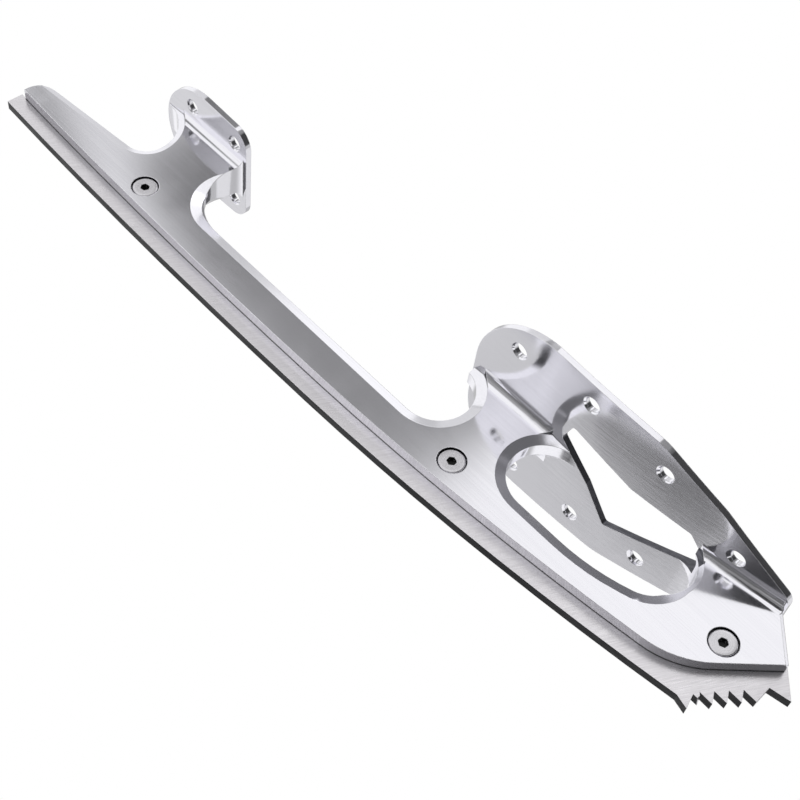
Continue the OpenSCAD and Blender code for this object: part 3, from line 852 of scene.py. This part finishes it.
    @staticmethod
    def _row_tree() -> bpy.types.NodeTree:
        """Builds the Geometry Nodes tree that puts one pattern on every point.

        Returns:
            The tree.
        """
        tree = bpy.data.node_groups.new("fastener_row", "GeometryNodeTree")
        for key, kind in (("Geometry", "NodeSocketGeometry"), ("Pattern", "NodeSocketObject"),
                          ("Lean", "NodeSocketFloat"), ("Finish", "NodeSocketMaterial")):
            tree.interface.new_socket(name=key, in_out="INPUT", socket_type=kind)
        tree.interface.new_socket(name="Geometry", in_out="OUTPUT",
                                  socket_type="NodeSocketGeometry")
        net = Net(tree)
        given = net.add("NodeGroupInput").outputs
        pattern = net.add("GeometryNodeObjectInfo", {"Object": given["Pattern"]})
        lean = net.add("ShaderNodeCombineXYZ", {"X": given["Lean"]})
        put = net.add("GeometryNodeInstanceOnPoints", {
            "Points": given["Geometry"], "Instance": pattern.outputs["Geometry"],
            "Rotation": lean.outputs[0]})
        angle = net.add("GeometryNodeInputNamedAttribute", {"Name": "turn"}, data_type="FLOAT")
        spin = net.add("ShaderNodeCombineXYZ", {"Z": angle.outputs["Attribute"]})
        turned = net.add("GeometryNodeRotateInstances", {
            "Instances": put.outputs[0], "Rotation": spin.outputs[0], "Local Space": True})
        real = net.add("GeometryNodeRealizeInstances", {"Geometry": turned.outputs[0]})
        dressed = net.add("GeometryNodeSetMaterial", {
            "Geometry": real.outputs[0], "Material": given["Finish"]})
        net.add("NodeGroupOutput", {"Geometry": dressed.outputs[0]})
        return tree


@dataclass(frozen=True)
class Card:
    """A card of the studio, seen only in reflections: a rectangle of directions, in degrees."""

    azimuths: tuple[float, float]
    elevations: tuple[float, float]
    softness: tuple[float, float]
    level: float

    def mask(self, net: Net, direction: bpy.types.NodeSocket) -> bpy.types.NodeSocket:
        """Adds the card to the world.

        Args:
            net: the world's nodes.
            direction: the direction that a ray looks in.

        Returns:
            A mask that is 1 on the card.
        """
        left, right = self.azimuths
        low, high = self.elevations
        side, end = self.softness
        node = ShaderGroups.place(net, Effect.CARD, {
            "Vector": direction, "Azimuth": (left + right) / 2, "Half": (right - left) / 2,
            "Low": low, "High": high, "Soft Side": side, "Soft End": end})
        return node.outputs["Mask"]


@dataclass(frozen=True)
class Lamp:
    """A large soft round lamp that faces the blade, its place and size in metres."""

    name: str
    place: tuple[float, float, float]
    size: float
    power: float

    def hang(self) -> None:
        """Hangs the lamp in the scene."""
        data = bpy.data.lights.new(self.name, "AREA")
        data.shape = "DISK"
        data.size = self.size
        data.energy = self.power
        place = Vector(self.place)
        lamp = bpy.data.objects.new(self.name, data)
        facing = place.to_track_quat("Z", "Y").to_matrix().to_4x4()
        lamp.matrix_world = Matrix.Translation(place) @ facing
        bpy.context.scene.collection.objects.link(lamp)


@dataclass
class Studio:
    """Camera, backdrop, floor and light. A later card lies over the earlier ones."""

    aim: Vector = field(default_factory=lambda: Vector((23.587, 0.0, 10.708)) * MM)
    azimuth: float = -64.6
    elevation: float = -26.455
    distance: float = 405.458 * MM
    roll: float = 55.242
    lens: float = 62.64
    sensor: float = 36.0
    shift: tuple[float, float] = (0.02125, 0.03625)
    nearest: float = 10.0 * MM
    ambient: float = 0.8
    ambient_tone: float = 0.9
    floor_half: float = 3.0
    floor_tone: float = 0.86
    floor_roughness: float = 0.7
    lamps: tuple[Lamp, ...] = (Lamp("key", (-0.5, -0.9, 1.3), size=1.0, power=1.2),
                               Lamp("fill", (0.9, 0.8, 1.0), size=1.2, power=1.0))
    cards: tuple[Card, ...] = (
        Card((271.0, 294.0), (2.0, 50.0), (3.0, 4.0), 0.28),
        Card((292.0, 362.0), (-60.0, 48.0), (5.0, 5.0), 0.05),
        Card((2.0, 150.0), (4.0, 60.0), (8.0, 6.0), 0.52),
        Card((195.0, 229.5), (20.9, 60.0), (5.0, 0.8), 0.74),
        Card((195.0, 248.0), (46.0, 62.0), (4.0, 2.0), 0.6),
        Card((0.0, 360.0), (61.0, 120.0), (1.0, 3.0), 0.22),
        Card((215.0, 229.0), (20.8, 21.8), (3.0, 0.5), 0.03),
        Card((228.2, 247.7), (23.4, 45.0), (1.4, 0.9), 0.26),
        Card((229.5, 235.0), (23.4, 45.0), (2.0, 0.9), 0.16),
        Card((195.0, 228.0), (-31.0, -12.0), (1.5, 3.0), 0.05),
        Card((226.0, 236.0), (-30.0, -12.0), (2.0, 3.0), 0.8),
        Card((223.0, 232.8), (-26.9, -12.0), (1.2, 0.5), 0.2),
        Card((229.0, 245.5), (-53.0, -29.5), (2.0, 1.5), 0.35),
        Card((249.0, 271.0), (-45.0, -29.5), (1.5, 1.5), 0.55),
        Card((254.5, 268.5), (-50.0, -35.4), (1.5, 0.5), 0.14),
        Card((270.4, 278.0), (-43.0, -18.0), (1.4, 3.0), 0.02),
        Card((278.0, 291.0), (-43.0, 4.0), (2.0, 3.0), 0.15),
        Card((268.0, 294.0), (-60.0, -43.0), (4.0, 2.0), 0.2),
        Card((92.0, 118.0), (-60.0, -20.0), (2.0, 3.0), 0.62),
        Card((122.0, 150.0), (-60.0, -15.0), (4.0, 2.0), 0.72),
        Card((70.0, 113.0), (-120.0, -35.3), (2.0, 0.5), 0.1),
        Card((205.0, 290.0), (-120.0, -53.0), (6.0, 2.0), 0.28),
        Card((0.0, 360.0), (-120.0, -66.0), (1.0, 3.0), 0.15),
    )

    def build(self) -> None:
        """Sets up the camera, the world, the floor and the lamps."""
        self._camera()
        self._world()
        self._floor()
        for lamp in self.lamps:
            lamp.hang()
        bpy.context.scene.view_settings.view_transform = "Standard"

    def _camera(self) -> None:
        """Places the camera at the photograph's viewing angle."""
        data = bpy.data.cameras.new("photo_camera")
        data.lens = self.lens
        data.sensor_width = self.sensor
        data.shift_x, data.shift_y = self.shift
        data.clip_start = self.nearest
        side, up = math.radians(self.azimuth), math.radians(self.elevation)
        away = Vector((math.cos(up) * math.cos(side), math.cos(up) * math.sin(side), math.sin(up)))
        look = (-away).to_track_quat("-Z", "Y").to_matrix().to_4x4()
        camera = bpy.data.objects.new("photo_camera", data)
        camera.matrix_world = (Matrix.Translation(self.aim + away * self.distance) @ look
                               @ Matrix.Rotation(math.radians(self.roll), 4, "Z"))
        bpy.context.scene.collection.objects.link(camera)
        bpy.context.scene.camera = camera

    def _world(self) -> None:
        """Makes a white backdrop. In reflections, the studio's grey cards cover most of it."""
        world = bpy.data.worlds.new("studio")
        bpy.context.scene.world = world
        world.use_nodes = True
        net = Net(world.node_tree)
        net.tree.nodes.clear()
        place = net.add("ShaderNodeTexCoord")
        level: object = 1.0
        for card in self.cards:
            level = net.blend(card.mask(net, place.outputs["Generated"]), level, card.level)
        path = net.add("ShaderNodeLightPath").outputs
        mirrored = net.mix(level, grey(0.0), grey(1.0))
        shown = net.mix(path[Ray.GLOSSY.value], grey(1.0), mirrored)
        seen = path[Ray.CAMERA.value]
        for kind in (Ray.GLOSSY, Ray.TRANSMISSION):
            seen = net.math("MAXIMUM", seen, path[kind.value])
        light = net.add("ShaderNodeBackground", {
            "Color": grey(self.ambient_tone), "Strength": self.ambient})
        backdrop = net.add("ShaderNodeBackground", {"Color": shown, "Strength": 1.0})
        mixed = net.add("ShaderNodeMixShader", {
            0: seen, 1: light.outputs[0], 2: backdrop.outputs[0]})
        net.add("ShaderNodeOutputWorld", {"Surface": mixed.outputs[0]})

    def _floor(self) -> None:
        """Lays a pale floor under the runner.

        It has an upper side only, because the photograph's camera is below it.
        """
        work = bmesh.new()
        bmesh.ops.create_grid(work, x_segments=1, y_segments=1, size=self.floor_half)
        floor = new_object("floor", new_mesh("floor", work))
        material, net = empty_material("pale_floor")
        side = net.add("ShaderNodeNewGeometry")
        top = net.add("ShaderNodeBsdfPrincipled", {
            "Base Color": grey(self.floor_tone), "Roughness": self.floor_roughness})
        clear = net.add("ShaderNodeBsdfTransparent")
        both = net.add("ShaderNodeMixShader", {
            0: side.outputs["Backfacing"], 1: top.outputs[0], 2: clear.outputs[0]})
        net.add("ShaderNodeOutputMaterial", {"Surface": both.outputs[0]})
        floor.data.materials.append(material)
        floor.visible_glossy = False
        floor.visible_diffuse = False
        floor.visible_shadow = False


def main() -> None:
    """Builds the studio and every piece of the blade, in order."""
    logging.basicConfig(level=logging.INFO, format="%(name)s: %(message)s")
    Studio().build()
    Chassis("chassis", "chassis_body", "chassis", (MILLED, SAWN_SHADED)).build()
    Runner("runner", "runner_blade", "runner", (GROUND, SHADED_EDGE)).build()
    Fasteners().build()


if __name__ == "__main__":
    main()
